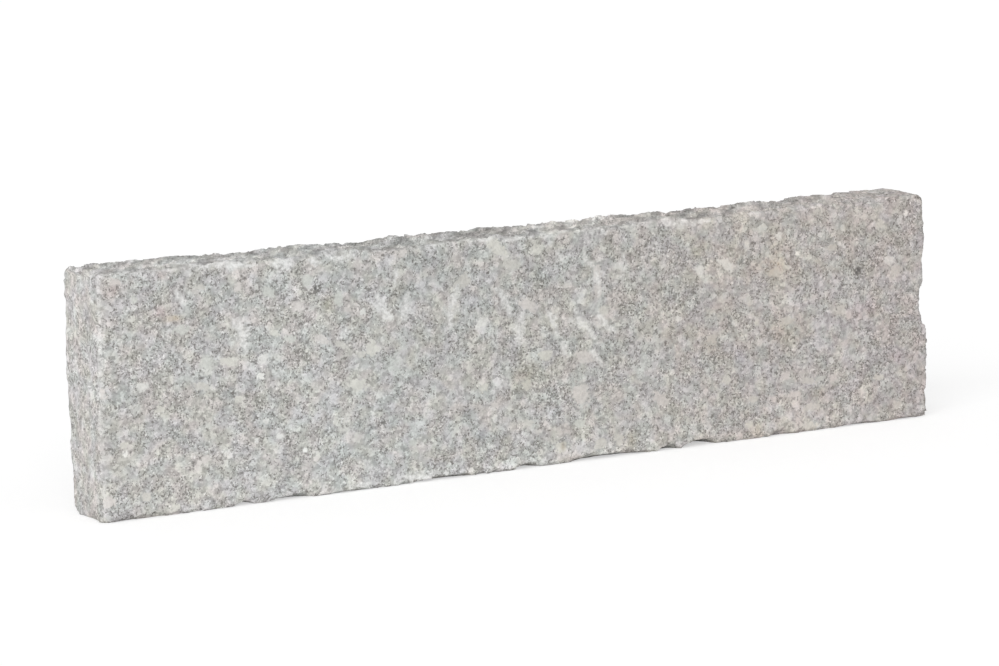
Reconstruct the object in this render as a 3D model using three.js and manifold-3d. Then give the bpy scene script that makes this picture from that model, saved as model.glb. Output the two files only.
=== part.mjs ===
// Granite kerb stone, split and dressed by hand: one solid block, standing on its bed.
// Millimetres. X runs along the stone, Y through it (the dressed face looks to -Y), Z up from the bed at 0.

import * as THREE from "three";
import { mergeVertices } from "three/addons/utils/BufferGeometryUtils.js";
import Module from "manifold-3d";

const wasm = await Module();
wasm.setup();

// The block
const length = 1000;
const height = 250;
const thickness = 80;

// Corners of the long outline, rounded by splitting and handling
const topRightRadius = 12;
const topLeftRadius = 8;
const bottomRightRadius = 3;

// How far the split and dressed surfaces heave in from the block's flat sides, and the waves of a heave
const faceHeave = 2.4;
const topHeave = 0.8;
const leftEndHeave = 2.6;
const rightEndHeave = 0.8;
const longWave = 61;
const middleWave = 37;
const diagonalWave = 29;
const shortWave = 17;

// The left end was split a little out of square, and the dressed face falls back towards it in a soft round
const leftEndTwist = 4;
const leftArrisRun = 16;
const leftArrisFall = 6;

// Hollows in the right end: height of the middle above the bed, how high each is and how deep
const endHollows = [
  { at: 26, run: 44, fall: 2.4 },
  { at: 142, run: 96, fall: 4.6 },
  { at: 180, run: 60, fall: 2 },
  { at: 232, run: 70, fall: 2.4 },
];

// What is worn off the arrises all along, and off the bed's
const arrisWear = 2.5;
const bedWear = 2.6;

// Facets between the rims, and the narrow rows of facets that follow each rim
const facetPitch = 19;
const rimRows = [3, 9];

// Hollows across the split top: place along the stone from its middle, how long each is and how deep
const topHollows = [
  { at: -362, run: 60, fall: 0.8 },
  { at: -308, run: 100, fall: 3 },
  { at: -184, run: 136, fall: 3.8 },
  { at: -104, run: 30, fall: 2.2 },
  { at: -36, run: 140, fall: 1.8 },
  { at: 60, run: 180, fall: 3.2 },
  { at: 184, run: 110, fall: 3 },
  { at: 216, run: 44, fall: 1.8 },
  { at: 264, run: 90, fall: 2.8 },
  { at: 344, run: 60, fall: 2.8 },
];
const topSkew = 0.3;

// Flakes knocked off the front of the bed: run along the arris, how far up the face and how far under
const bedFlakes = [
  { at: -0.94, run: 70, up: 2.6, under: 8 },
  { at: -0.685, run: 24, up: 4.6, under: 24 },
  { at: -0.585, run: 60, up: 3.6, under: 18 },
  { at: -0.44, run: 60, up: 2.4, under: 8 },
  { at: -0.24, run: 100, up: 3.2, under: 14 },
  { at: -0.025, run: 30, up: 5.5, under: 24 },
  { at: 0.06, run: 60, up: 4.4, under: 4 },
  { at: 0.18, run: 110, up: 4.4, under: 20 },
  { at: 0.32, run: 30, up: 3.8, under: 16 },
  { at: 0.4, run: 46, up: 7, under: 34 },
  { at: 0.46, run: 40, up: 4, under: 3 },
  { at: 0.61, run: 40, up: 2.6, under: 9 },
  { at: 0.81, run: 70, up: 2.8, under: 11 },
  { at: 0.94, run: 50, up: 2.6, under: 10 },
];

// Flakes off the front of the top: run along the arris, how far down the face and how far back
const topFlakes = [
  { at: -0.83, run: 70, down: 5, back: 5 },
  { at: -0.69, run: 50, down: 7, back: 3 },
  { at: -0.53, run: 76, down: 8, back: 4 },
  { at: -0.4, run: 44, down: 5, back: 3 },
  { at: -0.27, run: 66, down: 9, back: 4 },
  { at: -0.12, run: 50, down: 5, back: 3 },
  { at: 0, run: 60, down: 6, back: 4 },
  { at: 0.13, run: 70, down: 7, back: 3 },
  { at: 0.27, run: 48, down: 8, back: 5 },
  { at: 0.39, run: 52, down: 9, back: 6 },
  { at: 0.5, run: 56, down: 12, back: 9 },
  { at: 0.64, run: 80, down: 6, back: 10 },
  { at: 0.81, run: 100, down: 5, back: 11 },
];

// Small flakes on the other arrises: spacing, how far a full one runs, falls and bites, their smallest and
// largest share of a full one, and the most that any flake is turned, in radians
const flakeSpacing = 46;
const flakeRun = 34;
const flakeFall = 7;
const flakeBite = 3;
const smallestFlake = 0.45;
const largestFlake = 1.2;
const flakeTurn = 0.15;

// The deep flake missing from the right end of the dressed face
const notchHeight = 125;
const notchRun = 54;
const notchDepth = 10;
const notchReach = 26;
const notchTilt = 0.09;

// The lower back corner of the left end is knocked off
const cornerFlake = { run: 15, out: 9, up: 7 };

const graniteGrey = 0xb9b7b3;

// Lines of the facet grid across one size of the block: narrow rows at both rims, even ones between.
function gridLines(size) {
  const rim = rimRows.filter((row) => row < size / 5);
  const inner = size - 2 * rim.at(-1);
  const count = Math.max(2, Math.round(inner / facetPitch));
  const between = Array.from({ length: count - 1 }, (_, i) => rim.at(-1) + (inner * (i + 1)) / count);
  return [0, ...rim, ...between, ...rim.map((row) => size - row).reverse(), size];
}

// A number from 0 to 1 that depends only on its seed, so the stone is the same each time.
function chance(seed) {
  const wave = Math.sin(seed * 127.1 + 11.7) * 43758.5453;
  return wave - Math.floor(wave);
}

// A slow, uneven swell from 0 to 1 over two directions, for a split and dressed surface.
function swell(a, b, seed) {
  const long = Math.sin(a / longWave + seed) * Math.cos(b / middleWave + 1.7 * seed);
  const diagonal = Math.sin((a + b) / diagonalWave + 2.3 * seed);
  const short = Math.sin((a - b) / shortWave + 3.1 * seed);
  return 0.5 + 0.27 * long + 0.14 * diagonal + 0.09 * short;
}

// How deep the hollows are at one place along them, each falling and rising again in a soft bell.
function hollowAt(hollows, place) {
  let fall = 0;
  for (const hollow of hollows) {
    const along = (2 * (place - hollow.at)) / hollow.run;
    if (Math.abs(along) < 1) fall += hollow.fall * Math.cos((Math.PI * along) / 2) ** 2;
  }
  return fall;
}

// How far the split top lies below the block's height. Its hollows drift along the stone towards the front.
function topFall(x, y) {
  const drift = topSkew * (thickness / 2 - y);
  return topHeave * swell(x, 2 * y, 5.2) + hollowAt(topHollows, x - drift);
}

// Presses the square of points in one corner of the long outline into a quarter round.
function roundCorner(point, right, top, radius) {
  const outX = right ? 1 : -1;
  const outZ = top ? 1 : -1;
  const centreX = outX * (length / 2 - radius);
  const centreZ = top ? height - radius : radius;
  const dx = (point.x - centreX) * outX;
  const dz = (point.z - centreZ) * outZ;
  if (dx <= 0 || dz <= 0) return;
  const pressed = Math.max(dx, dz) / Math.hypot(dx, dz);
  point.x = centreX + outX * dx * pressed;
  point.z = centreZ + outZ * dz * pressed;
}

// Draws the points on an arris in towards the stone, so that the arris is broken and not sharp.
function wearArris(point, side) {
  const crossing = [side.left || side.right, side.front || side.back, side.top || side.bed];
  if (crossing.filter(Boolean).length < 2) return;
  const pull = (1 - Math.SQRT1_2) * (side.bed ? bedWear : arrisWear);
  if (side.left) point.x += pull;
  if (side.right) point.x -= pull;
  if (side.front) point.y += pull;
  if (side.back) point.y -= pull;
  if (side.top) point.z -= pull;
  if (side.bed) point.z += pull;
}

// Where a grid point goes along one axis when the block's low and high sides fall in by those amounts.
function between(value, low, high, lowFall, highFall) {
  return THREE.MathUtils.mapLinear(value, low, high, low + lowFall, high - highFall);
}

// Moves one grid point of the plain block to its place on the dressed stone.
function dress(point) {
  const { x, y, z } = point;
  const side = {
    left: x <= -length / 2,
    right: x >= length / 2,
    front: y <= -thickness / 2,
    back: y >= thickness / 2,
    bed: z <= 0,
    top: z >= height,
  };
  const forward = 0.5 - y / thickness;
  roundCorner(point, true, true, topRightRadius * forward ** 2);
  roundCorner(point, false, true, topLeftRadius);
  roundCorner(point, true, false, bottomRightRadius);
  const nearLeft = Math.max(0, 1 - (x + length / 2) / leftArrisRun);
  const leftFall = leftEndHeave * swell(2 * y, z, 6.85) + leftEndTwist * forward * (z / height);
  const rightFall = rightEndHeave * swell(2 * y, z, 15.95) + hollowAt(endHollows, z);
  const frontFall = faceHeave * swell(x, z, 0.4) + leftArrisFall * nearLeft ** 2;
  const backFall = faceHeave * swell(x, z, 2.9);
  point.x = between(point.x, -length / 2, length / 2, leftFall, rightFall);
  point.y = between(point.y, -thickness / 2, thickness / 2, frontFall, backFall);
  point.z = between(point.z, 0, height, 0, topFall(x, y));
  wearArris(point, side);
}

// The block as a closed grid of facets, dressed point by point.
function dressedBlock() {
  const lines = { x: gridLines(length), y: gridLines(thickness), z: gridLines(height) };
  const cells = [lines.x.length - 1, lines.y.length - 1, lines.z.length - 1];
  const block = new THREE.BoxGeometry(...cells, ...cells);
  block.deleteAttribute("normal");
  block.deleteAttribute("uv");
  const closed = mergeVertices(block, 0.01);
  const places = closed.getAttribute("position");
  const point = new THREE.Vector3();
  for (let i = 0; i < places.count; i += 1) {
    point.x = lines.x[Math.round(places.getX(i) + cells[0] / 2)] - length / 2;
    point.y = lines.y[Math.round(places.getY(i) + cells[1] / 2)] - thickness / 2;
    point.z = lines.z[Math.round(places.getZ(i) + cells[2] / 2)];
    dress(point);
    places.setXYZ(i, point.x, point.y, point.z);
  }
  return closed;
}

// A closed three.js geometry as a solid for cutting.
function solid(geometry) {
  return new wasm.Manifold(new wasm.Mesh({
    numProp: 3,
    vertProperties: new Float32Array(geometry.getAttribute("position").array),
    triVerts: new Uint32Array(geometry.getIndex().array),
  }));
}

// A point on one of the block's edges. `out` says on which side of the block the edge lies in the two
// directions across it, and `share` how far along it the point is, from -1 to 1.
function onEdge(axis, out, share) {
  const half = new THREE.Vector3(length / 2, thickness / 2, height / 2);
  const point = new THREE.Vector3(out.x ?? 0, out.y ?? 0, out.z ?? 0).multiply(half);
  point[axis] = share * half[axis];
  point.z += half.z;
  return point;
}

// The squashed ball whose hollow a flake leaves. Its half sizes run along X, Y and Z before the turn.
function flake(centre, halfSizes, seed) {
  const ball = new THREE.IcosahedronGeometry(1, 1);
  ball.deleteAttribute("normal");
  ball.deleteAttribute("uv");
  const closed = mergeVertices(ball, 0.001);
  closed.scale(halfSizes.x, halfSizes.y, halfSizes.z);
  closed.rotateX(flakeTurn * (2 * chance(seed + 1) - 1));
  closed.rotateY((flakeTurn / 3) * (2 * chance(seed + 2) - 1));
  closed.rotateZ((flakeTurn / 3) * (2 * chance(seed + 3) - 1));
  closed.translate(centre.x, centre.y, centre.z);
  return solid(closed);
}

// Small flakes all along one edge, falling down the side that faces along `fall`.
function smallFlakes(axis, out, fall, seed) {
  const span = { x: length, y: thickness, z: height }[axis];
  const count = Math.max(1, Math.round(span / flakeSpacing));
  const flakes = [];
  for (let i = 0; i < count; i += 1) {
    const mark = seed + 7.3 * i;
    const size = THREE.MathUtils.lerp(smallestFlake, largestFlake, chance(mark));
    const share = (2 * (i + 0.2 + 0.6 * chance(mark + 4))) / count - 1;
    const halfSizes = new THREE.Vector3().setScalar(flakeBite * size);
    halfSizes[axis] = (flakeRun / 2) * size;
    halfSizes[fall] = flakeFall * size;
    flakes.push(flake(onEdge(axis, out, share), halfSizes, mark));
  }
  return flakes;
}

function frontFlakes() {
  const onBed = bedFlakes.map(({ at, run, up, under }, i) => (
    flake(onEdge("x", { y: -1, z: -1 }, at), new THREE.Vector3(run / 2, under, up), 50 + i)));
  const onTop = topFlakes.map(({ at, run, down, back }, i) => (
    flake(onEdge("x", { y: -1, z: 1 }, at), new THREE.Vector3(run / 2, back, down), 80 + i)));
  return [...onBed, ...onTop];
}

function otherFlakes() {
  return [
    ...smallFlakes("x", { y: 1, z: 1 }, "z", 410),
    ...smallFlakes("x", { y: 1, z: -1 }, "z", 1230),
    ...smallFlakes("z", { x: -1, y: -1 }, "y", 1640),
    ...smallFlakes("z", { x: -1, y: 1 }, "y", 2050),
    ...smallFlakes("z", { x: 1, y: -1 }, "y", 2460),
    ...smallFlakes("z", { x: 1, y: 1 }, "y", 2870),
    ...smallFlakes("y", { x: -1, z: 1 }, "x", 3280),
    ...smallFlakes("y", { x: 1, z: -1 }, "x", 4510),
  ];
}

// The deep flake at the right end, steeper at its lower lip.
function endNotch() {
  const ball = new THREE.IcosahedronGeometry(1, 2);
  ball.deleteAttribute("normal");
  ball.deleteAttribute("uv");
  const closed = mergeVertices(ball, 0.001);
  closed.scale(notchDepth, notchReach, notchRun / 2);
  closed.rotateY(-notchTilt);
  closed.translate(length / 2, -thickness / 2, notchHeight);
  return solid(closed);
}

function knockedCorner() {
  const { run, out, up } = cornerFlake;
  const centre = new THREE.Vector3(-length / 2, thickness / 2, 0);
  return flake(centre, new THREE.Vector3(run / 2, out, up), 99);
}

function kerbStone() {
  const flakes = wasm.Manifold.union([...frontFlakes(), ...otherFlakes(), endNotch(), knockedCorner()]);
  const stone = solid(dressedBlock()).subtract(flakes).getMesh();
  const geometry = new THREE.BufferGeometry();
  geometry.setAttribute("position", new THREE.BufferAttribute(stone.vertProperties, stone.numProp));
  geometry.setIndex(new THREE.BufferAttribute(stone.triVerts, 1));
  geometry.computeVertexNormals();
  const granite = new THREE.MeshStandardMaterial({ color: graniteGrey, roughness: 0.9, metalness: 0 });
  const mesh = new THREE.Mesh(geometry, granite);
  mesh.name = "kerb_stone";
  return mesh;
}

const kerb = new THREE.Group();
kerb.name = "granite_kerb_stone";
kerb.add(kerbStone());

export default kerb;
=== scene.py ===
# Granite kerb stone, split and dressed by hand: one block standing on its bed, on a pale studio floor.
# The scene is in metres. Sizes written in millimetres are turned to metres with MM.

import math

import bmesh
import bpy
import numpy as np
from mathutils import Matrix, Vector, noise


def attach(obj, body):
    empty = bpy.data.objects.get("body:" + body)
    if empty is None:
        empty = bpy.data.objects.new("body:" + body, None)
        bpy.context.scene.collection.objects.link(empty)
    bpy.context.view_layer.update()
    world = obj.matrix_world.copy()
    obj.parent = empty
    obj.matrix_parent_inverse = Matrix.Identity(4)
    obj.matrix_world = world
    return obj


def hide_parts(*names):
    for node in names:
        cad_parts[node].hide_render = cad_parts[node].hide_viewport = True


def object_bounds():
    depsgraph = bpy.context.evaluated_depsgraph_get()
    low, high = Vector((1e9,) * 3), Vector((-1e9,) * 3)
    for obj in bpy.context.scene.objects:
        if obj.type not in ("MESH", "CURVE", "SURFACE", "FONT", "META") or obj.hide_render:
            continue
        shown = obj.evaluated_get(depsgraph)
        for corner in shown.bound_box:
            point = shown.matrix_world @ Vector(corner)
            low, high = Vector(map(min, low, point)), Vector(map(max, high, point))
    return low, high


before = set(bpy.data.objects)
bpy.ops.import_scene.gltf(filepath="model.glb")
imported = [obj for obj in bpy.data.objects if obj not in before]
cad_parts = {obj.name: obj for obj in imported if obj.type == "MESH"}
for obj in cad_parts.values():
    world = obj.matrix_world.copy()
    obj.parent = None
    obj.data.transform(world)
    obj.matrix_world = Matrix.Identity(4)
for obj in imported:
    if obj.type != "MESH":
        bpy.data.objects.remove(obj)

MM = 0.001
cad_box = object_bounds()

# How far the solid reaches to the right, to the front and up, in millimetres
RIGHT = round(cad_box[1][0] / MM)
FRONT = round(cad_box[0][1] / MM)
HEIGHT = round(cad_box[1][2] / MM)

# The camera: a long lens, well to the left of the dressed face and a little above the stone
CAMERA_PLACE = Vector((-1.9885, -3.4869, 0.7524))
CAMERA_YAW = 29.409
CAMERA_PITCH = 8.694
CAMERA_ROLL = 1.477
CAMERA_LENS = 138.81
CAMERA_FILM = 36

# Studio light: an even white room and one broad soft lamp, as shares of a plain full light
ROOM_LIGHT = 0.62
LAMP_LIGHT = 0.55
LAMP_SPREAD = 60
LAMP_TOWARDS = Vector((0.62, 0.66, -0.42))

# The floor
FLOOR_RADIUS = 40
FLOOR_SIDES = 96
FLOOR_TONE = 0.94
FLOOR_SEEN = 0.62
FLOOR_LIFT = 0.49

# The stone's mesh, in millimetres: the edge of one facet, and how close two points are to be one
FACET = 2.75
SAME_POINT = 0.01

# The back and the bed are coarse: the share of their facets that is kept, how far their normals lean at
# least, and the width of the fine strip along their edges
PLAIN_SHARE = 0.2
PLAIN_FACING = 0.75
EDGE_STRIP = 6

# Facets are split again on the top, where normals lean up this far, and on the front arrises, between these
FINE_TOP = 0.4
FINE_ARRIS = (-0.93, -0.35)

# A side fades in as its normals lean along its axis, and an arris as they lean away from all three
FACING = (0.35, 0.8)
ARRIS_FACING = (0.97, 0.8)

# Length and height of the chips and lumps of each kind of surface, in millimetres, and the seed of each
TOP_CHIPS = [(26, 2.6), (11, 2.1), (5.5, 1.1)]
END_CHIPS = [(24, 1.5), (10, 0.6)]
BACK_CHIPS = [(30, 1.6), (11, 0.9)]
ARRIS_CHIPS = [(17, 1.6), (7.5, 1.3), (3.6, 0.9)]
FACE_LUMPS = [(48, 0.5), (11, 0.45)]
BED_NIBBLES = [(19, 4.4), (8, 2.4)]
SEEDS = {"top": 21.8, "end": 11.7, "face": 23.9, "back": 41.3, "arris": 57.7, "nibbles": 71.3}

# How much lower the chipped top lies on the whole
TOP_DROP = 0.4

# The top's chips are longer from front to back, and the nibbles longer inwards and upwards: less is longer
TOP_STRETCH = (1.0, 0.6, 1.0)
NIBBLE_STRETCH = (1.0, 0.3, 0.3)

# A chip is partly a step up or down and partly a tilt. Their random values are read this many chips apart
CHIP_LEVEL = 0.6
CHIP_TILT = 1.6
CHIP_SPREAD = 7.0

# The lumps' noise: its roughness, the step from octave to octave, and the number of octaves
LUMP_NOISE = (1.0, 2.1, 2)

# Steps through the noise, from layer to layer and from seed to seed
LAYER_STEP = 7.1
SEED_STEP = 2.3
SEED_TOP = 31.7

# The front arris of the bed, where the nibbles are, fades in downwards and forwards
BED_ARRIS_HEIGHT = (8, 3)
BED_ARRIS_DEPTH = (FRONT + 7, FRONT + 3)

# The back arris of the top fades in backwards and upwards. Its dips and humps: X, reach, and how deep
BACK_ARRIS_DEPTH = (0, 30)
BACK_ARRIS_HEIGHT = (HEIGHT - 25, HEIGHT - 8)
TOP_DIPS = [
    (-106, 8, 2.8), (-153, 5, 1.3), (96, 10, 1.2), (152, 8, 1.7), (202, 6, 1.5), (262, 6, 1.2),
    (-384, 12, -1.5), (-15, 20, -0.8), (432, 12, -1.2),
]

# The top corner at the right is worn: X and Z, reach, and the share of its relief that is rubbed away
WORN_CORNER = (RIGHT - 6, HEIGHT - 6)
WORN_REACH = 24
WORN_SHARE = 0.85

# The split top fades in from the right end to the left
SPLIT_FADES = (RIGHT - 30, RIGHT - 90)

# The grain of the split top is drawn out backwards: from how far before its middle, by what share, how aslant
SPLIT_BEGINS = 27
SPLIT_STRETCH = 0.65
SPLIT_SLANT = 0.87

# The front arrises are worn pale above this height, and less so past these places to the right, by this share
WEAR_FROM = 12
WEAR_FADES = (230, 300)
WEAR_FADE_SHARE = 0.8

# The value of a mark far outside it, and how far a point belongs to the dressed face where its marks show
OUTSIDE = -1.0
FACE_FROM = 0.5
BRUISED_FROM = 0.3

# Crystals: how square they are, and how far out their tint reaches
BLOCKY = 3
TINT_FROM = -0.9

# Bruises: their width as a multiple of their reach to one side, and how deep they are
BRUISE_FULLNESS = 1.35
BRUISE_DEPTH = 0.45

# Tints of the feldspar crystals, as shares of their plain colour. The painted glint is near white: painted
# highlights where crystal faces glint
TINTS = {
    # Painted highlight: crystals tinted near white to stand for glints of light off their faces
    "painted glint": (1.70, 1.70, 1.68),
    "white": (1.40, 1.40, 1.39),
    "cream": (1.25, 1.24, 1.18),
    "pink": (1.21, 1.155, 1.145),
    "green": (1.12, 1.145, 1.11),
    "beige": (1.13, 1.11, 1.07),
}

# Feldspar crystals in the dressed face: middle X and Z, length, width, turn in degrees, tint. Those with the
# glint tint are painted glints of light, not crystals of their own colour
CRYSTALS = [
    (-477, 240, 13, 8, 0, "pink"), (-458, 221, 9, 8, 20, "green"), (-385, 227, 11, 8, 0, "beige"),
    (-343, 222, 9, 9, 0, "pink"), (-310, 215, 14, 12, -20, "green"), (-265, 221, 12, 13, 0, "green"),
    (-278, 197, 15, 12, 0, "pink"), (-231, 200, 11, 17, 0, "green"), (-408, 186, 18, 11, -5, "green"),
    (-305, 173, 15, 8, -20, "cream"), (-287, 165, 14, 8, -10, "green"), (-252, 161, 20, 9, -22, "pink"),
    (-231, 154, 18, 7, -25, "beige"), (-381, 150, 18, 15, 0, "green"), (-357, 149, 20, 9, -12, "cream"),
    (-318, 148, 12, 12, 0, "white"), (-322, 130, 9, 8, 0, "painted glint"), (-388, 127, 20, 9, -8, "beige"),
    (-452, 133, 14, 10, 0, "white"), (-434, 109, 12, 7, 0, "cream"), (-347, 110, 10, 8, 0, "cream"),
    (-211, 110, 23, 13, -3, "cream"), (-194, 146, 16, 14, 20, "cream"), (-207, 141, 12, 8, 0, "beige"),
    (-188, 97, 11, 9, 0, "white"), (-385, 53, 12, 7, 15, "pink"), (-318, 84, 9, 6, -20, "white"),
    (-302, 67, 9, 8, 0, "white"), (-275, 50, 7, 7, 0, "painted glint"), (-495, 130, 12, 11, 0, "pink"),
    (-492, 21, 15, 11, 0, "pink"), (-329, 66, 6, 6, 0, "white"), (-157, 240, 12, 10, 0, "pink"),
    (-45, 237, 27, 14, -38, "cream"), (-28, 218, 21, 13, 15, "beige"), (-66, 160, 16, 12, 0, "white"),
    (-9, 173, 25, 13, -25, "pink"), (9, 118, 18, 12, 0, "cream"), (58, 112, 26, 13, -12, "pink"),
    (67, 116, 9, 7, 0, "white"), (-14, 89, 11, 13, 0, "beige"), (51, 72, 20, 27, 0, "pink"),
    (-53, 72, 14, 6, -20, "pink"), (-12, 48, 11, 8, -30, "beige"), (50, 41, 13, 9, 0, "green"),
    (26, 18, 13, 11, 0, "cream"), (98, 18, 12, 12, 0, "beige"), (150, 57, 22, 12, -30, "pink"),
    (-150, 43, 12, 8, 0, "green"), (236, 195, 23, 12, -43, "white"), (203, 190, 10, 14, -20, "white"),
    (305, 218, 9, 10, 0, "white"), (262, 214, 7, 12, 0, "white"), (175, 141, 9, 7, 0, "white"),
    (217, 116, 13, 11, 0, "beige"), (329, 198, 8, 5, 0, "painted glint"), (473, 230, 6, 6, 0, "painted glint"),
    (385, 132, 15, 10, 10, "beige"), (450, 180, 15, 10, -10, "white"), (460, 168, 16, 11, 0, "beige"),
    (438, 221, 11, 10, 0, "cream"), (370, 76, 8, 8, 0, "white"), (312, 66, 10, 9, 0, "pink"),
    (340, 57, 24, 7, -8, "beige"), (373, 56, 14, 8, 0, "pink"), (434, 51, 16, 8, 0, "cream"),
    (235, 69, 12, 10, 0, "cream"), (263, 17, 11, 11, 0, "cream"), (342, 6, 20, 11, -15, "cream"),
    (345, 27, 23, 8, 0, "beige"), (323, 44, 14, 8, 0, "pink"), (268, 44, 12, 8, 0, "beige"),
    (75, 201, 11, 17, 0, "pink"), (-86, 206, 20, 13, 28, "beige"), (-204, 184, 7, 8, 0, "white"),
    (-175, 177, 15, 9, -25, "white"), (-473, 76, 9, 10, 0, "cream"), (-473, 68, 7, 7, 0, "painted glint"),
    (-452, 22, 9, 9, 0, "beige"), (-421, 8, 9, 11, 0, "cream"), (-238, 74, 6, 8, 0, "cream"),
    (-65, 92, 11, 11, 0, "cream"), (57, 144, 13, 10, -50, "cream"), (76, 181, 11, 15, 0, "pink"),
    (59, 180, 5, 8, 0, "white"), (82, 159, 12, 11, 0, "beige"), (74, 17, 15, 11, 0, "beige"),
    (295, 180, 19, 9, 0, "beige"), (372, 200, 15, 8, 0, "beige"), (275, 127, 7, 10, 0, "cream"),
    (314, 126, 20, 9, 0, "beige"), (355, 57, 13, 6, 0, "green"), (458, 18, 9, 9, 0, "beige"),
]

# Bruises, where the point or the pitching tool crushed the grain: points along each, and its width
BRUISES = [
    ([(-347, 190), (-341, 174), (-336, 160)], 13),
    ([(-412, 224), (-405, 213)], 7),
    ([(-187, 199), (-183, 187), (-175, 176)], 10),
    ([(-231, 160), (-225, 167), (-213, 168)], 5),
    ([(-152, 198), (-154, 186), (-157, 172)], 10),
    ([(-163, 226), (-165, 218), (-166, 210)], 6),
    ([(-93, 201), (-99, 188), (-103, 176), (-103, 160)], 9),
    ([(-46, 194), (-40, 186), (-35, 177), (-31, 166)], 9),
    ([(-18, 164), (-21, 150), (-21, 137)], 12),
    ([(14, 166), (20, 154), (26, 140)], 8),
    ([(47, 162), (57, 147), (65, 138), (71, 130)], 9),
    ([(58, 226), (62, 214), (72, 205), (77, 190), (77, 172)], 6),
    ([(74, 158), (79, 148), (85, 142), (93, 137)], 9),
    ([(67, 116), (72, 110), (78, 100)], 6),
    ([(382, 206), (391, 197)], 5),
    ([(107, 217), (108, 204), (106, 190)], 6),
    ([(28, 225), (34, 213)], 7),
    ([(30, 130), (34, 117)], 8),
    ([(-440, 248), (-415, 246)], 7),
    ([(-383, 246), (-350, 245), (-325, 243)], 5),
    ([(-303, 242), (-284, 240)], 12),
    ([(-262, 243), (-250, 238)], 6),
    ([(-238, 242), (-212, 243)], 6),
    ([(-66, 247), (-52, 246)], 7),
    ([(-38, 243), (-16, 245)], 6),
    ([(163, 243), (190, 244), (214, 244)], 9),
    ([(268, 246), (290, 248)], 7),
    ([(-164, 8), (-140, 5), (-112, 6)], 9),
    ([(-62, 29), (-54, 28)], 4),
    ([(-228, 6), (-200, 6)], 5),
    ([(-497, 210), (-498, 170), (-497, 120), (-498, 96)], 3),
]

# Washes of colour over the dressed face: middle X and Z, reach along each, and the share of each colour kept.
# The ones that lighten the foot of the face are painted light, as bounced up from the floor
WASHES = [
    (-429, 205, 11, 6, (0.86, 0.76, 0.79)),
    (-414, 198, 10, 3, (0.70, 0.61, 0.46)),
    (-474, 232, 12, 7, (0.97, 0.90, 0.90)),
    (-424, 241, 8, 6, (0.94, 0.85, 0.86)),
    (-132, 216, 34, 19, (0.85, 0.87, 0.88)),
    (0, 203, 46, 17, (0.93, 0.95, 0.96)),
    (-66, 184, 24, 12, (0.92, 0.94, 0.96)),
    (-15, 97, 24, 14, (0.98, 0.97, 0.90)),
    (29, 19, 3, 5, (0.62, 0.54, 0.45)),
    (113, 19, 8, 8, (0.86, 0.79, 0.70)),
    (128, 168, 22, 12, (0.92, 0.92, 0.90)),
    (160, 120, 9, 9, (0.88, 0.80, 0.78)),
    (297, 188, 22, 13, (0.97, 0.91, 0.84)),
    (304, 190, 7, 6, (0.94, 0.87, 0.78)),
    (215, 104, 14, 10, (0.97, 0.90, 0.84)),
    (310, 112, 28, 15, (1.03, 1.00, 0.93)),
    (353, 43, 13, 6, (0.80, 0.76, 0.70)),
    (418, 128, 16, 10, (1.02, 0.94, 0.95)),
    (462, 70, 12, 9, (0.98, 0.90, 0.92)),
    (350, 85, 34, 26, (0.96, 0.99, 1.00)),
    (240, 30, 26, 18, (0.92, 0.94, 0.95)),
    (450, 20, 50, 26, (0.93, 0.93, 0.92)),
    (440, 205, 24, 14, (0.94, 0.95, 0.94)),
    (-470, 124, 16, 14, (0.93, 0.96, 0.95)),
    (-243, 195, 6, 8, (0.90, 0.90, 0.80)),
    # Painted light: the foot of the face lightened, as by light bounced up from the floor
    (0, 0, 190, 13, (1.24, 1.25, 1.26)),
    (-432, 154, 20, 17, (1.12, 1.12, 1.12)),
    (-454, 206, 18, 16, (1.18, 1.18, 1.17)),
    (-264, 190, 16, 20, (1.10, 1.09, 1.11)),
    (-160, 130, 19, 17, (0.87, 0.87, 0.85)),
    (28, 74, 19, 15, (1.10, 1.10, 1.10)),
    (-96, 142, 15, 15, (1.09, 1.09, 1.10)),
    (112, 232, 26, 14, (1.09, 1.09, 1.10)),
    (202, 226, 16, 14, (0.89, 0.89, 0.88)),
    (228, 158, 22, 16, (0.91, 0.89, 0.89)),
    (276, 234, 16, 12, (0.93, 0.91, 0.88)),
    (384, 106, 18, 14, (0.91, 0.90, 0.91)),
    (481, 45, 17, 28, (0.86, 0.86, 0.87)),
    (-490, 52, 15, 22, (0.82, 0.82, 0.82)),
    (-300, 36, 34, 20, (0.93, 0.93, 0.95)),
    (-210, 60, 110, 36, (0.985, 1.0, 1.015)),
    (250, 84, 70, 26, (0.975, 0.995, 1.02)),
    (330, 205, 120, 32, (1.02, 1.01, 0.975)),
    (-70, 42, 10, 6, (0.94, 0.94, 1.00)),
    (-409, 114, 6, 4, (0.82, 0.82, 0.82)),
    (18, 60, 10, 9, (0.92, 0.94, 0.98)),
    (205, 212, 13, 7, (0.93, 0.93, 0.87)),
    (393, 177, 14, 7, (0.92, 0.92, 0.88)),
    (252, 95, 6, 8, (0.95, 0.95, 1.02)),
    (272, 9, 8, 8, (0.98, 0.97, 0.88)),
    (426, 23, 7, 4, (0.84, 0.82, 0.85)),
    (30, 4, 22, 5, (0.80, 0.79, 0.77)),
    # Painted light: two more lightened spots at the foot of the face
    (-88, 5, 18, 7, (1.12, 1.13, 1.14)),
    (112, 5, 20, 7, (1.11, 1.11, 1.11)),
    (416, 6, 20, 9, (0.90, 0.91, 0.91)),
    (-480, 102, 11, 12, (0.91, 0.91, 0.91)),
    (190, 120, 40, 26, (1.01, 0.985, 0.98)),
    (-116, 245, 44, 5, (1.10, 1.10, 1.11)),
    (22, 245, 28, 5, (1.10, 1.10, 1.10)),
]

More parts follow.
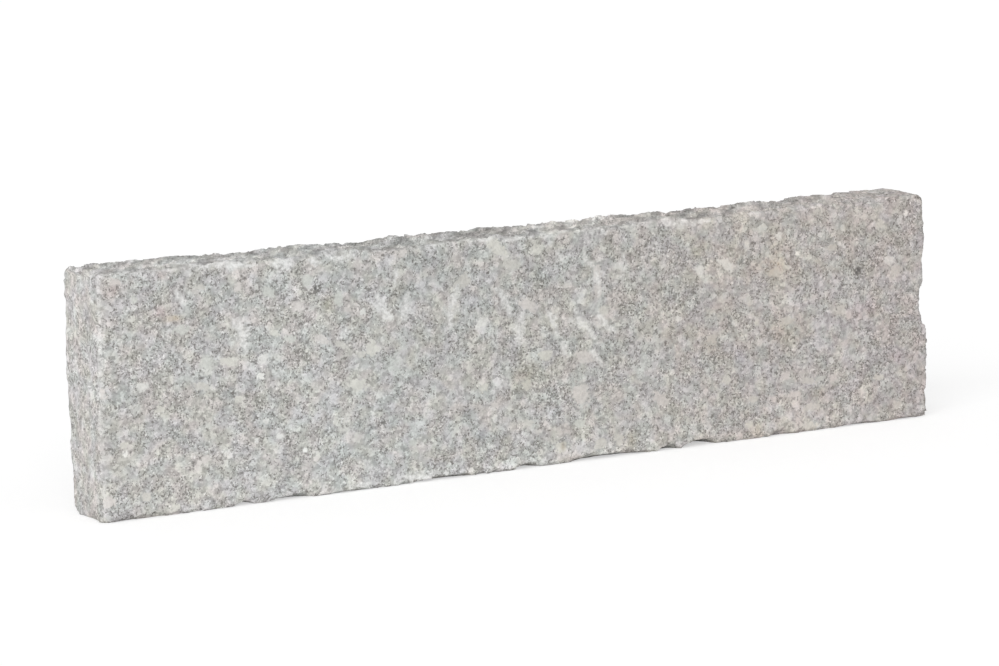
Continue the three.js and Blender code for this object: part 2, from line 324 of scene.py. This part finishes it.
# Knots of mica in the dressed face: middle X and Z, reach, and how dark the middle is
KNOTS = [
    (-257, 213, 5, 1.1), (-251, 216, 4, 0.9), (-408, 173, 4, 1.0), (-354, 116, 4, 0.9), (65, 223, 4, 1.1),
    (92, 232, 3, 1.0), (408, 171, 3.5, 1.5), (351, 43, 5, 0.7), (-184, 68, 3, 1.0), (-33, 157, 3, 0.7),
    (3, 175, 4, 0.6), (-211, 19, 3, 0.7), (-192, 23, 3, 1.0), (120, 27, 3, 0.7), (-434, 66, 3, 0.6),
    (-442, 240, 5, 0.4), (-412, 231, 4, 0.4), (-377, 38, 4, 0.4), (-140, 156, 5, 0.5), (-104, 145, 5, 0.4),
    (50, 227, 4, 0.4), (158, 118, 5, 0.4), (277, 198, 5, 0.4), (287, 186, 4, 0.5), (325, 116, 4, 0.4),
    (359, 40, 5, 0.5), (-340, 50, 5, 0.4), (-250, 107, 5, 0.4), (-168, 200, 6, 0.5), (200, 165, 5, 0.4),
    (228, 182, 5, 0.4), (213, 229, 3, 0.9), (304, 187, 4, 0.4),
]

# Tone along the stone, from its grey left end to its warmer right end: X, and the share of each colour kept
TONES = [
    (-500, (1.00, 0.985, 0.98)),
    (-250, (1.01, 1.02, 1.02)),
    (-150, (0.93, 0.93, 0.925)),
    (50, (0.915, 0.903, 0.885)),
    (150, (0.90, 0.872, 0.85)),
    (250, (0.885, 0.83, 0.80)),
    (350, (0.90, 0.845, 0.83)),
    (500, (0.873, 0.803, 0.79)),
]

# The split top is weathered from here backwards, softly: X, and Y. Fresh stone before it is a little paler
WEATHER_FROM = [(170, -50), (230, -30), (300, -16), (380, -6), (450, 2)]
WEATHER_EDGE = 5.0
FRESH_PALER = 0.12

# Tone up the stone, up its ends, and along its split top. Up the stone, the lighter foot is painted light, as
# bounced up from the floor, and the paler top is wear at the arris. Up the ends, the lift is partly paler
# split stone and partly painted light falling on the end faces
HEIGHT_TONES_AND_PAINTED_LIGHT = [(0, 1.12), (50, 1.06), (80, 1.01), (150, 1.01), (225, 0.985), (238, 1.015), (250, 1.06)]
END_TONES_AND_PAINTED_LIGHT = [(0, 1.00), (50, 1.09), (90, 1.15), (140, 1.19), (200, 1.19), (250, 1.15)]
TOP_TONES = [
    (-460, 1.08), (-350, 1.12), (-240, 0.88), (-130, 1.13), (-20, 0.85), (90, 1.44), (200, 0.96),
    (320, 1.04), (440, 1.14),
]

# Colours of the stone, and the slight tints of its patches
COLOURS = {
    "quartz": (0.345, 0.340, 0.330, 1),
    "feldspar": (0.575, 0.569, 0.554, 1),
    "pale feldspar": (0.665, 0.658, 0.640, 1),
    "salt": (0.77, 0.765, 0.75, 1),
    "mica": (0.146, 0.139, 0.128, 1),
    "knot": (0.11, 0.11, 0.107, 1),
    "crystal": (0.525, 0.525, 0.51, 1),
    "worn": (0.66, 0.66, 0.645, 1),
    "dust": (0.46, 0.457, 0.45, 1),
    "bluish": (0.979, 0.998, 1.019, 1),
    "yellowish": (1.018, 0.998, 0.974, 1),
    "greenish": (0.986, 1.011, 0.988, 1),
    "reddish": (1.014, 0.989, 1.009, 1),
}
DUST_SHARE = 0.22

# How the outlines of the grain wobble: how often to the millimetre, and how far
WOBBLE_SCALE = 0.35
WOBBLE_REACH = 3.5

# Gloss of the grain and of the mica, and the height of the pits
GRAIN_ROUGHNESS = 0.88
MICA_ROUGHNESS = 0.6
GRANITE_SPECULAR = 0.3
PIT_HEIGHT = 0.7
PIT_STRENGTH = 0.6


# Shapes

def step(value, none, full):
    """Goes smoothly from 0 at none to 1 at full."""
    share = np.clip((value - none) / (full - none), 0.0, 1.0)
    return share * share * (3.0 - 2.0 * share)


def between(value, stops):
    """Reads a number off a list of (place, number) stops."""
    return np.interp(value, *zip(*stops))


def noise_start(seed, layer):
    """Where in the noise a layer of chips or lumps starts."""
    return Vector((seed + LAYER_STEP * layer, SEED_STEP * seed, SEED_TOP - seed))


def lumps(points, layers, seed):
    """Uneven heights about zero, for layers of (length, height) lumps, in millimetres."""
    total = np.zeros(len(points))
    for layer, (size, rise) in enumerate(layers):
        start = noise_start(seed, layer)
        total += rise * np.array([noise.fractal(Vector(p) / size + start, *LUMP_NOISE) for p in points])
    return total


def chips(points, layers, seed):
    """Heights about zero of flat chips, each with its own level and tilt, for layers of (length, height)."""
    total = np.zeros(len(points))
    for layer, (size, rise) in enumerate(layers):
        start = noise_start(seed, layer)
        for i, point in enumerate(points):
            spot = Vector(point) / size + start
            middle = noise.voronoi(spot)[1][0]
            level, *tilt = noise.cell_vector(middle * CHIP_SPREAD) - Vector((0.5, 0.5, 0.5))
            away = spot - middle
            slope = away.x * tilt[0] + away.z * tilt[1] + away.y * level
            total[i] += rise * (CHIP_LEVEL * level + CHIP_TILT * slope)
    return total


def faced(mesh):
    """The place of each point in millimetres, and the way that it faces."""
    at = np.empty(len(mesh.vertices) * 3)
    facing = np.empty(len(mesh.vertices) * 3)
    mesh.vertices.foreach_get("co", at)
    mesh.vertices.foreach_get("normal", facing)
    return at.reshape(-1, 3) / MM, facing.reshape(-1, 3)


def block_mesh():
    """The solid's surface in facets: finest on the top and the front arrises, coarse on the back and bed."""
    shell = bmesh.new()
    shell.from_mesh(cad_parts["kerb_stone"].data)
    bmesh.ops.remove_doubles(shell, verts=shell.verts, dist=SAME_POINT * MM)
    mesh = bpy.data.meshes.new("granite_kerb")
    shell.to_mesh(mesh)
    shell.free()
    block = bpy.data.objects.new("block", mesh)
    bpy.context.scene.collection.objects.link(block)
    even = block.modifiers.new("even facets", "REMESH")
    even.mode = "VOXEL"
    even.voxel_size = FACET * MM
    block.data = bpy.data.meshes.new_from_object(block.evaluated_get(bpy.context.evaluated_depsgraph_get()))
    block.modifiers.clear()

    at, facing = faced(block.data)
    plain = np.maximum(facing[:, 1], -facing[:, 2]) > PLAIN_FACING
    plain &= (np.abs(at[:, 0]) < RIGHT - EDGE_STRIP) & (at[:, 1] > FRONT + EDGE_STRIP)
    plain &= at[:, 2] < HEIGHT - EDGE_STRIP
    group = block.vertex_groups.new(name="plain")
    group.add(np.nonzero(plain)[0].tolist(), 1.0, "REPLACE")
    fewer = block.modifiers.new("fewer facets", "DECIMATE")
    fewer.ratio = 1.0 - (1.0 - PLAIN_SHARE) * plain.mean()
    fewer.vertex_group = "plain"
    ready = bpy.data.meshes.new_from_object(block.evaluated_get(bpy.context.evaluated_depsgraph_get()))
    bpy.data.objects.remove(block)

    shell = bmesh.new()
    shell.from_mesh(ready)
    fine = [edge for edge in shell.edges if all(is_fine(corner) for corner in edge.verts)]
    bmesh.ops.subdivide_edges(shell, edges=fine, cuts=1, use_grid_fill=True)
    bmesh.ops.triangulate(shell, faces=[face for face in shell.faces if len(face.verts) > 4])
    shell.to_mesh(ready)
    shell.free()
    return ready


def is_fine(corner):
    """Whether a point lies on the split top or on an arris of the dressed face."""
    low, high = FINE_ARRIS
    return corner.normal.z > FINE_TOP or low < corner.normal.y < high


def along_bruise(x, z, points, width):
    """1 on the middle line of a bruise, 0 at its outline, and below 0 outside it. Its ends are narrower."""
    best = np.full(len(x), OUTSIDE)
    runs = [math.dist(a, b) for a, b in zip(points, points[1:])]
    done = 0.0
    for (ax, az), (bx, bz), run in zip(points, points[1:], runs):
        share = np.clip(((x - ax) * (bx - ax) + (z - az) * (bz - az)) / run**2, 0.0, 1.0)
        away = np.hypot(x - ax - share * (bx - ax), z - az - share * (bz - az))
        taper = 0.5 + 0.5 * np.sin(math.pi * (done + share * run) / sum(runs))
        best = np.maximum(best, 1.0 - away / (width / BRUISE_FULLNESS * taper))
        done += run
    return best


def in_crystal(x, z, middle_x, middle_z, long, wide, turn):
    """1 in the middle of a crystal, 0 at its blocky outline, and below 0 outside it."""
    cosine, sine = math.cos(math.radians(turn)), math.sin(math.radians(turn))
    along = ((x - middle_x) * cosine + (z - middle_z) * sine) / (long / 2)
    across = ((z - middle_z) * cosine - (x - middle_x) * sine) / (wide / 2)
    return 1.0 - (np.abs(along) ** BLOCKY + np.abs(across) ** BLOCKY) ** (1 / BLOCKY)


def store(mesh, name, values):
    """Keeps one number or one colour for each point of the mesh, for the material to read."""
    if values.ndim == 1:
        mesh.attributes.new(name, "FLOAT", "POINT").data.foreach_set("value", values.astype(np.float32))
        return
    colours = np.ones((len(values), 4), np.float32)
    colours[:, :3] = values
    mesh.attributes.new(name, "FLOAT_COLOR", "POINT").data.foreach_set("color", colours.ravel())


def mark_face(mesh, at, front):
    """Writes the dressed face's crystals, a few of them painted glints, its bruises and knots on the mesh,
    and gives back the bruises.
    """
    x, z = at[:, 0], at[:, 2]
    crystal = np.full(len(x), OUTSIDE)
    crystal_tint_and_painted_glint = np.ones((len(x), 3))
    for *shape, tint in CRYSTALS:
        field = in_crystal(x, z, *shape)
        nearer = field > crystal
        crystal = np.where(nearer, field, crystal)
        crystal_tint_and_painted_glint[nearer & (field > TINT_FROM)] = TINTS[tint]
    bruise = np.max([along_bruise(x, z, points, width) for points, width in BRUISES], axis=0)
    knot = np.max([dark - np.hypot(x - kx, z - kz) / reach for kx, kz, reach, dark in KNOTS], axis=0)
    store(mesh, "crystal", np.where(front > FACE_FROM, np.maximum(crystal, OUTSIDE), OUTSIDE))
    store(mesh, "crystal_tint_and_painted_glint", crystal_tint_and_painted_glint)
    store(mesh, "bruise", np.where(front > BRUISED_FROM, np.maximum(bruise, OUTSIDE), OUTSIDE))
    store(mesh, "knot", np.where(front > FACE_FROM, np.maximum(knot, OUTSIDE), OUTSIDE))
    return bruise * (front > BRUISED_FROM)


def tone_stone_and_paint_light(mesh, at, front, top, weathered, end):
    """Writes the tones and the washes of colour on the mesh, with painted light lightening the foot and, in
    part, the ends.
    """
    x, z = at[:, 0], at[:, 2]
    places, tones = zip(*TONES)
    wash_and_painted_light = np.stack([np.interp(x, places, tone) for tone in zip(*tones)], axis=1)
    wash_and_painted_light *= between(z, HEIGHT_TONES_AND_PAINTED_LIGHT)[:, None]
    on_top = weathered * (between(x, TOP_TONES) - 1.0)
    end_tone_and_painted_light = end * (between(z, END_TONES_AND_PAINTED_LIGHT) - 1.0)
    wash_and_painted_light *= 1.0 + (on_top + end_tone_and_painted_light)[:, None]
    wash_and_painted_light *= 1.0 + FRESH_PALER * (top - weathered)[:, None]
    for wx, wz, reach_x, reach_z, keep in WASHES:
        soft = np.exp(-(((x - wx) / reach_x) ** 2 + ((z - wz) / reach_z) ** 2)) * front
        wash_and_painted_light *= 1.0 + soft[:, None] * (np.array(keep) - 1.0)
    store(mesh, "wash_and_painted_light", wash_and_painted_light)


def relief(at, top, front, back, end, arris):
    """How far chips, lumps and nibbles make each point stand out of the solid's surface, in millimetres."""
    heave = (
        top * (chips(at * TOP_STRETCH, TOP_CHIPS, SEEDS["top"]) - TOP_DROP)
        + end * chips(at, END_CHIPS, SEEDS["end"])
        + front * lumps(at, FACE_LUMPS, SEEDS["face"])
        + back * chips(at, BACK_CHIPS, SEEDS["back"])
        + arris * chips(at, ARRIS_CHIPS, SEEDS["arris"])
    )
    on_bed_arris = step(at[:, 2], *BED_ARRIS_HEIGHT) * step(at[:, 1], *BED_ARRIS_DEPTH)
    heave -= on_bed_arris * np.maximum(chips(at * NIBBLE_STRETCH, BED_NIBBLES, SEEDS["nibbles"]), 0.0)
    corner_x, corner_z = WORN_CORNER
    near = np.exp(-(((at[:, 0] - corner_x) / WORN_REACH) ** 2) - ((at[:, 2] - corner_z) / WORN_REACH) ** 2)
    return heave * (1.0 - WORN_SHARE * near)


def dress_stone():
    """The stone: the solid in small facets, each surface split or dressed."""
    mesh = block_mesh()
    at, facing = faced(mesh)
    top = step(facing[:, 2], *FACING)
    front = step(-facing[:, 1], *FACING)
    back = step(facing[:, 1], *FACING)
    end = step(np.abs(facing[:, 0]), *FACING)
    arris = step(np.abs(facing).max(axis=1), *ARRIS_FACING)
    heave = relief(at, top, front, back, end, arris)

    split = top * step(at[:, 0], *SPLIT_FADES)
    weathered = split * step(at[:, 1] - between(at[:, 0], WEATHER_FROM), -WEATHER_EDGE, WEATHER_EDGE)
    wear = arris * (at[:, 1] < 0) * (at[:, 2] > WEAR_FROM)
    heave -= BRUISE_DEPTH * np.clip(mark_face(mesh, at, front), 0.0, 1.0)
    tone_stone_and_paint_light(mesh, at, front, top, weathered, end)
    store(mesh, "split", split)
    store(mesh, "weathered", weathered)
    store(mesh, "arris", wear * (1.0 - WEAR_FADE_SHARE * step(at[:, 0], *WEAR_FADES)))

    on_back_arris = step(at[:, 1], *BACK_ARRIS_DEPTH) * step(at[:, 2], *BACK_ARRIS_HEIGHT)
    at += facing * heave[:, None]
    for x, reach, drop in TOP_DIPS:
        at[:, 2] -= on_back_arris * drop * np.exp(-(((at[:, 0] - x) / reach) ** 2))
    low, high = (np.array(corner) / MM for corner in cad_box)
    at = np.clip(at, low, high)
    mesh.vertices.foreach_set("co", (at * MM).ravel())
    mesh.shade_smooth()
    mesh.update()
    stone = bpy.data.objects.new("granite_kerb", mesh)
    bpy.context.scene.collection.objects.link(stone)
    return stone


# Finishes

def place(tree, kind, inputs=None, **settings):
    """Adds a node, sets it, and joins or fills its inputs by name or number."""
    node = tree.nodes.new(kind)
    for name, value in settings.items():
        setattr(node, name, value)
    for key, value in (inputs or {}).items():
        if isinstance(value, bpy.types.NodeSocket):
            tree.links.new(value, node.inputs[key])
        else:
            node.inputs[key].default_value = value
    return node


def maths(tree, operation, a, b):
    return place(tree, "ShaderNodeMath", {0: a, 1: b}, operation=operation).outputs[0]


def plus(tree, a, b):
    return maths(tree, "ADD", a, b)


def minus(tree, a, b):
    return maths(tree, "SUBTRACT", a, b)


def times(tree, a, b):
    return maths(tree, "MULTIPLY", a, b)


def larger(tree, a, b):
    return maths(tree, "MAXIMUM", a, b)


def vectors(tree, operation, inputs):
    return place(tree, "ShaderNodeVectorMath", inputs, operation=operation).outputs[0]


def ease(tree, value, low, high, out_low=0.0, out_high=1.0):
    """Maps a value smoothly from one range to another."""
    inputs = {"Value": value, "From Min": low, "From Max": high, "To Min": out_low, "To Max": out_high}
    return place(tree, "ShaderNodeMapRange", inputs, interpolation_type="SMOOTHSTEP").outputs["Result"]


def ramp(tree, value, start, width):
    """Maps a value evenly to 0 at start and to 1 a width above it."""
    inputs = {"Value": value, "From Min": start, "From Max": plus(tree, start, width)}
    return place(tree, "ShaderNodeMapRange", inputs).outputs["Result"]


def blend(tree, share, a, b, way="MIX"):
    """Mixes two colours, through the mix node's colour sockets: inputs 6 and 7, and output 2."""
    return place(tree, "ShaderNodeMix", {0: share, 6: a, 7: b}, data_type="RGBA", blend_type=way).outputs[2]


def grey(level):
    return (level, level, level, 1.0)


def moved(tree, where, seed):
    return vectors(tree, "ADD", {0: where, 1: (seed, 2 * seed, 3 * seed)})


def speckle(tree, where, size, seed, soft=None):
    """Three random values for each crystal grain of about this size, in millimetres."""
    cells = place(tree, "ShaderNodeTexVoronoi", {"Vector": moved(tree, where, seed), "Scale": 1 / size})
    if soft is not None:
        cells.feature = "SMOOTH_F1"
        cells.inputs["Smoothness"].default_value = soft
    return place(tree, "ShaderNodeSeparateColor", {0: cells.outputs["Color"]}).outputs


def cloud(tree, where, size, seed, detail):
    """Soft noise from 0 to 1 with clouds of about this size, in millimetres."""
    inputs = {"Vector": moved(tree, where, seed), "Scale": 1 / size, "Detail": detail}
    return place(tree, "ShaderNodeTexNoise", inputs).outputs[0]


def swing(tree, value):
    """Moves a value from 0 to 1 so that it swings about zero."""
    return minus(tree, value, 0.5)


def shade(tree, colour, share):
    """Makes a colour lighter or darker by one share."""
    share = place(tree, "ShaderNodeCombineColor", {0: share, 1: share, 2: share}).outputs[0]
    return blend(tree, 1.0, colour, share, "MULTIPLY")


def grain_group():
    """Granite's grain: pale feldspar, grey quartz and dark flecks of mica."""
    tree = bpy.data.node_groups.new("granite grain", "ShaderNodeTree")
    sockets = tree.interface
    sockets.new_socket("Place", in_out="INPUT", socket_type="NodeSocketVector")
    sockets.new_socket("Mica", in_out="INPUT", socket_type="NodeSocketFloat").default_value = 0.0
    sockets.new_socket("Colour", in_out="OUTPUT", socket_type="NodeSocketColor")
    sockets.new_socket("Mica", in_out="OUTPUT", socket_type="NodeSocketFloat")
    sockets.new_socket("Height", in_out="OUTPUT", socket_type="NodeSocketFloat")
    given = tree.nodes.new("NodeGroupInput").outputs
    made = tree.nodes.new("NodeGroupOutput").inputs

    # A wobble, so that no crystal has straight sides
    even = given["Place"]
    wobble = place(tree, "ShaderNodeTexNoise", {"Vector": even, "Scale": WOBBLE_SCALE, "Detail": 2.0})
    bend = vectors(tree, "SUBTRACT", {0: wobble.outputs["Color"], 1: (0.5, 0.5, 0.5)})
    bend = vectors(tree, "SCALE", {0: bend, "Scale": WOBBLE_REACH})
    where = vectors(tree, "ADD", {0: even, 1: bend})

    # Cells for the crystals, from large to small, and clouds that fray, gather and tint them
    block = speckle(tree, where, size=12.0, seed=3.0, soft=0.2)
    crystal = speckle(tree, where, size=6.0, seed=67.0, soft=0.2)
    quartz = speckle(tree, where, size=3.6, seed=13.0, soft=0.25)
    grit = speckle(tree, where, size=2.1, seed=29.0)
    fleck = speckle(tree, where, size=1.5, seed=53.0)
    shreds = cloud(tree, even, size=2.4, seed=59.0, detail=2.0)
    frayed = times(tree, swing(tree, shreds), 0.35)
    drift = cloud(tree, even, size=30.0, seed=5.0, detail=3.0)
    cluster = cloud(tree, even, size=7.0, seed=41.0, detail=3.0)
    wide = swing(tree, cloud(tree, even, size=34.0, seed=47.0, detail=2.0))
    warmth = cloud(tree, even, size=20.0, seed=23.0, detail=1.0)
    rose = cloud(tree, even, size=16.0, seed=37.0, detail=2.0)
    busy = ease(tree, plus(tree, cluster, times(tree, wide, 0.65)), 0.31, 0.63)

    # Quartz and feldspar, with paler feldspar in three sizes
    ground = blend(tree, quartz["Red"], COLOURS["quartz"], COLOURS["feldspar"])
    big = times(tree, ease(tree, plus(tree, block["Green"], frayed), 0.87, 0.95), 0.85)
    middling = times(tree, ease(tree, plus(tree, crystal["Green"], frayed), 0.85, 0.95), 0.8)
    small = ease(tree, grit["Blue"], 0.7, 1.0, 0.0, 0.6)
    pale = larger(tree, larger(tree, big, middling), small)
    ground = blend(tree, times(tree, pale, 0.9), ground, COLOURS["pale feldspar"])

    # Slow changes of tint and tone, and white salt and uneven grit where the grain is busy
    for patches, cool, warm in ((warmth, "bluish", "yellowish"), (rose, "greenish", "reddish")):
        tinge = blend(tree, ease(tree, patches, 0.35, 0.65), COLOURS[cool], COLOURS[warm])
        ground = blend(tree, 1.0, ground, tinge, "MULTIPLY")
    ground = shade(tree, ground, ease(tree, drift, 0.3, 0.7, 0.93, 1.07))
    ground = shade(tree, ground, ease(tree, busy, 0.0, 1.0, 1.055, 0.955))
    salt = times(tree, ease(tree, fleck["Green"], 0.83, 0.91), times(tree, busy, 0.62))
    ground = blend(tree, salt, ground, COLOURS["salt"])
    uneven = times(tree, swing(tree, grit["Red"]), ease(tree, busy, 0.0, 1.0, 0.13, 0.32))
    ground = shade(tree, ground, plus(tree, uneven, 1.0))

    # Mica in flecks and shreds: the lower the bar, the more of it, and pale crystals raise the bar
    bar = ease(tree, busy, 0.0, 1.0, 0.985, 0.765)
    bar = plus(tree, bar, times(tree, pale, 0.12))
    bar = minus(tree, bar, given["Mica"])
    flecks = ramp(tree, fleck["Blue"], bar, 0.08)
    flakes = ramp(tree, shreds, plus(tree, times(tree, bar, 0.5), 0.18), 0.06)
    mica = larger(tree, times(tree, flecks, 0.72), times(tree, flakes, 0.92))
    colour = blend(tree, times(tree, mica, 0.9), ground, COLOURS["mica"])

    height = plus(tree, times(tree, quartz["Red"], 0.6), times(tree, grit["Red"], 0.4))
    tree.links.new(colour, made["Colour"])
    tree.links.new(mica, made["Mica"])
    tree.links.new(height, made["Height"])
    return tree


def mark(tree, name):
    return place(tree, "ShaderNodeAttribute", attribute_name=name).outputs


def drawn_out(tree, where):
    """The place, with the grain of the split top drawn out backwards and aslant."""
    parts = place(tree, "ShaderNodeSeparateXYZ", {0: where}).outputs
    behind = larger(tree, plus(tree, parts["Y"], SPLIT_BEGINS), 0.0)
    behind = times(tree, behind, times(tree, mark(tree, "split")["Fac"], SPLIT_STRETCH))
    beside = times(tree, behind, SPLIT_SLANT)
    drawn = {"X": minus(tree, parts["X"], beside), "Y": minus(tree, parts["Y"], behind), "Z": parts["Z"]}
    return place(tree, "ShaderNodeCombineXYZ", drawn).outputs[0]


def granite():
    """Grey granite, with the marks of splitting and dressing."""
    material = bpy.data.materials.new("granite")
    material.use_nodes = True
    tree = material.node_tree
    shader = tree.nodes["Principled BSDF"]
    objects = place(tree, "ShaderNodeTexCoord").outputs["Object"]
    where = vectors(tree, "SCALE", {0: objects, "Scale": 1 / MM})
    drawn = drawn_out(tree, where)
    ragged = swing(tree, cloud(tree, where, size=3.0, seed=71.0, detail=3.0))
    blocky = swing(tree, speckle(tree, where, size=3.4, seed=77.0)["Red"])
    broken = swing(tree, cloud(tree, where, size=5.5, seed=83.0, detail=4.0))

    # The grain, with more mica in the knots
    grain = place(tree, "ShaderNodeGroup", node_tree=grain_group())
    knot = mark(tree, "knot")["Fac"]
    tree.links.new(drawn, grain.inputs["Place"])
    tree.links.new(ease(tree, plus(tree, knot, ragged), -0.3, 0.5, 0.0, 0.33), grain.inputs["Mica"])

    # Feldspar crystals with blocky outlines, a few as painted glints, and the black cores of the knots
    crystal = plus(tree, mark(tree, "crystal")["Fac"], times(tree, blocky, 0.6))
    crystal = times(tree, ease(tree, crystal, -0.15, 0.35), 0.8)
    crystal_stone = blend(tree, 1.0, COLOURS["crystal"], mark(tree, "crystal_tint_and_painted_glint")["Color"], "MULTIPLY")
    crystal_stone = shade(tree, crystal_stone, plus(tree, times(tree, ragged, 0.4), 1.0))
    colour = blend(tree, crystal, grain.outputs["Colour"], crystal_stone)
    core = ease(tree, plus(tree, knot, times(tree, ragged, 2.2)), 0.5, 0.85, 0.0, 0.8)
    colour = blend(tree, core, colour, COLOURS["knot"])

    # Pale powder in the bruises, and pale wear along the arrises
    bruise = plus(tree, mark(tree, "bruise")["Fac"], times(tree, broken, 3.0))
    bruise = times(tree, ease(tree, bruise, -0.3, 1.1), 0.76)
    powder = ease(tree, cloud(tree, where, size=3.2, seed=101.0, detail=3.0), 0.3, 0.7, 0.60, 0.88)
    powder = {0: powder, 1: powder, 2: minus(tree, powder, 0.012)}
    colour = blend(tree, bruise, colour, place(tree, "ShaderNodeCombineColor", powder).outputs[0])
    worn = times(tree, mark(tree, "arris")["Fac"], ease(tree, broken, -0.15, 0.15, 0.05, 0.5))
    colour = blend(tree, worn, colour, COLOURS["worn"])

    # Weather on the split top, its mottle partly weathering and partly painted light and shade of its bumps;
    # and the washes, with their painted light, which soak in unevenly
    dusty = blend(tree, DUST_SHARE, colour, COLOURS["dust"])
    weather_and_painted_shade = ease(tree, cloud(tree, drawn, size=14.0, seed=91.0, detail=4.0), 0.35, 0.65, 1.33, 0.69)
    colour = blend(tree, mark(tree, "weathered")["Fac"], colour, shade(tree, dusty, weather_and_painted_shade))
    soak = ease(tree, cloud(tree, where, size=4.0, seed=97.0, detail=2.0), 0.35, 0.65, 0.64, 0.86)
    washed_with_painted_light = blend(tree, 1.0, colour, mark(tree, "wash_and_painted_light")["Color"], "MULTIPLY")
    tree.links.new(blend(tree, soak, colour, washed_with_painted_light), shader.inputs["Base Color"])

    rough = ease(tree, grain.outputs["Mica"], 0.0, 1.0, GRAIN_ROUGHNESS, MICA_ROUGHNESS)
    tree.links.new(rough, shader.inputs["Roughness"])
    shader.inputs["Specular IOR Level"].default_value = GRANITE_SPECULAR

    pits = cloud(tree, drawn, size=2.6, seed=17.0, detail=3.0)
    height = plus(tree, times(tree, grain.outputs["Height"], 0.35), pits)
    bump = {"Height": height, "Distance": PIT_HEIGHT * MM, "Strength": PIT_STRENGTH}
    tree.links.new(place(tree, "ShaderNodeBump", bump).outputs[0], shader.inputs["Normal"])
    return material


# Studio

def seen_directly(tree):
    """1 for what is seen, straight on, by reflection or through glass, and 0 for the light on the stone."""
    rays = place(tree, "ShaderNodeLightPath").outputs
    seen = larger(tree, rays["Is Camera Ray"], rays["Is Glossy Ray"])
    return larger(tree, seen, rays["Is Transmission Ray"])


def floor_finish():
    """White studio floor: it lights the stone as it is, and is seen lifted to white, with a pale shadow."""
    material = bpy.data.materials.new("studio floor")
    material.use_nodes = True
    tree = material.node_tree
    shader = tree.nodes["Principled BSDF"]
    shader.inputs["Roughness"].default_value = 1.0
    shader.inputs["Specular IOR Level"].default_value = 0.0
    shader.inputs["Emission Color"].default_value = grey(1.0)
    seen = seen_directly(tree)
    tree.links.new(blend(tree, seen, grey(FLOOR_TONE), grey(FLOOR_SEEN)), shader.inputs["Base Color"])
    tree.links.new(times(tree, seen, FLOOR_LIFT), shader.inputs["Emission Strength"])
    return material


def lay_floor():
    shape = bmesh.new()
    bmesh.ops.create_circle(shape, cap_ends=True, segments=FLOOR_SIDES, radius=FLOOR_RADIUS)
    mesh = bpy.data.meshes.new("studio_floor")
    shape.to_mesh(mesh)
    shape.free()
    mesh.materials.append(floor_finish())
    floor = bpy.data.objects.new("studio_floor", mesh)
    bpy.context.scene.collection.objects.link(floor)


def light_room():
    world = bpy.data.worlds.new("white room")
    bpy.context.scene.world = world
    world.use_nodes = True
    tree = world.node_tree
    light = ease(tree, seen_directly(tree), 0.0, 1.0, ROOM_LIGHT, 1.0)
    tree.links.new(light, tree.nodes["Background"].inputs["Strength"])
    tree.nodes["Background"].inputs["Color"].default_value = grey(1.0)
    lamp = bpy.data.lights.new("soft lamp", "SUN")
    lamp.energy = LAMP_LIGHT * math.pi
    lamp.angle = math.radians(LAMP_SPREAD)
    lit = bpy.data.objects.new("soft_lamp", lamp)
    lit.rotation_mode = "QUATERNION"
    lit.rotation_quaternion = LAMP_TOWARDS.to_track_quat("-Z", "Y")
    bpy.context.scene.collection.objects.link(lit)


def stand_camera():
    lens = bpy.data.cameras.new("camera")
    lens.lens = CAMERA_LENS
    lens.sensor_width = CAMERA_FILM
    camera = bpy.data.objects.new("camera", lens)
    turn = (
        Matrix.Rotation(math.radians(-CAMERA_YAW), 4, "Z")
        @ Matrix.Rotation(math.radians(90 - CAMERA_PITCH), 4, "X")
        @ Matrix.Rotation(math.radians(-CAMERA_ROLL), 4, "Z")
    )
    camera.matrix_world = Matrix.Translation(CAMERA_PLACE) @ turn
    bpy.context.scene.collection.objects.link(camera)
    bpy.context.scene.camera = camera


stand_camera()
light_room()
lay_floor()
bpy.context.scene.view_settings.view_transform = "Standard"

stone = dress_stone()
stone.data.materials.append(granite())
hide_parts("kerb_stone")
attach(stone, "root")
